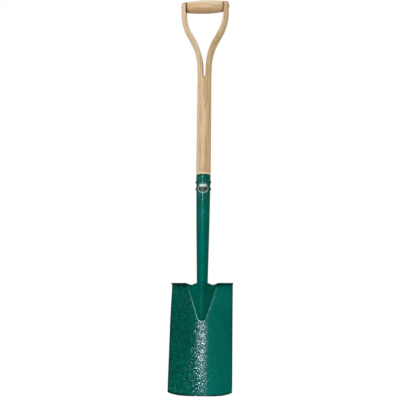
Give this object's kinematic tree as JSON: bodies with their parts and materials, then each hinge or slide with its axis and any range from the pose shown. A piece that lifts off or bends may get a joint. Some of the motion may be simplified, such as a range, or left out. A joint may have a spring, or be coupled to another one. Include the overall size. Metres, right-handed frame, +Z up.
{
  "type": "border spade",
  "caption": "Light garden spade: ash shaft split and bent into a loop handle with a turned cross grip, tapered steel socket, and a pressed, dished blade with a raised frog and folded treads.",
  "frame": {"origin": "the lowest line of the cross grip at its middle, where the spade hangs on a hook", "axes": "+Z up the shaft from the blade to the grip, -Y out of the hollow front of the blade, +X to the right of someone who faces that front"},
  "size_m": [0.144, 0.0496, 0.9546],
  "materials": {
    "ash_wood": "clear satin varnish",
    "wedge_wood": "pale hardwood, flush",
    "bare_steel": "dull, slightly dark",
    "hammered_paint": "dark green hammer-finish paint, glossy"
  },
  "bodies": {
    "root": {"shaft": "ash_wood", "fork_wedge": "wedge_wood", "grip": "ash_wood", "grip_rod": "bare_steel", "grip_washer_left": "bare_steel", "grip_washer_right": "bare_steel", "socket": "hammered_paint", "socket_rivet_upper": "hammered_paint", "socket_rivet_lower": "hammered_paint", "blade": "hammered_paint"}
  },
  "joints": []
}
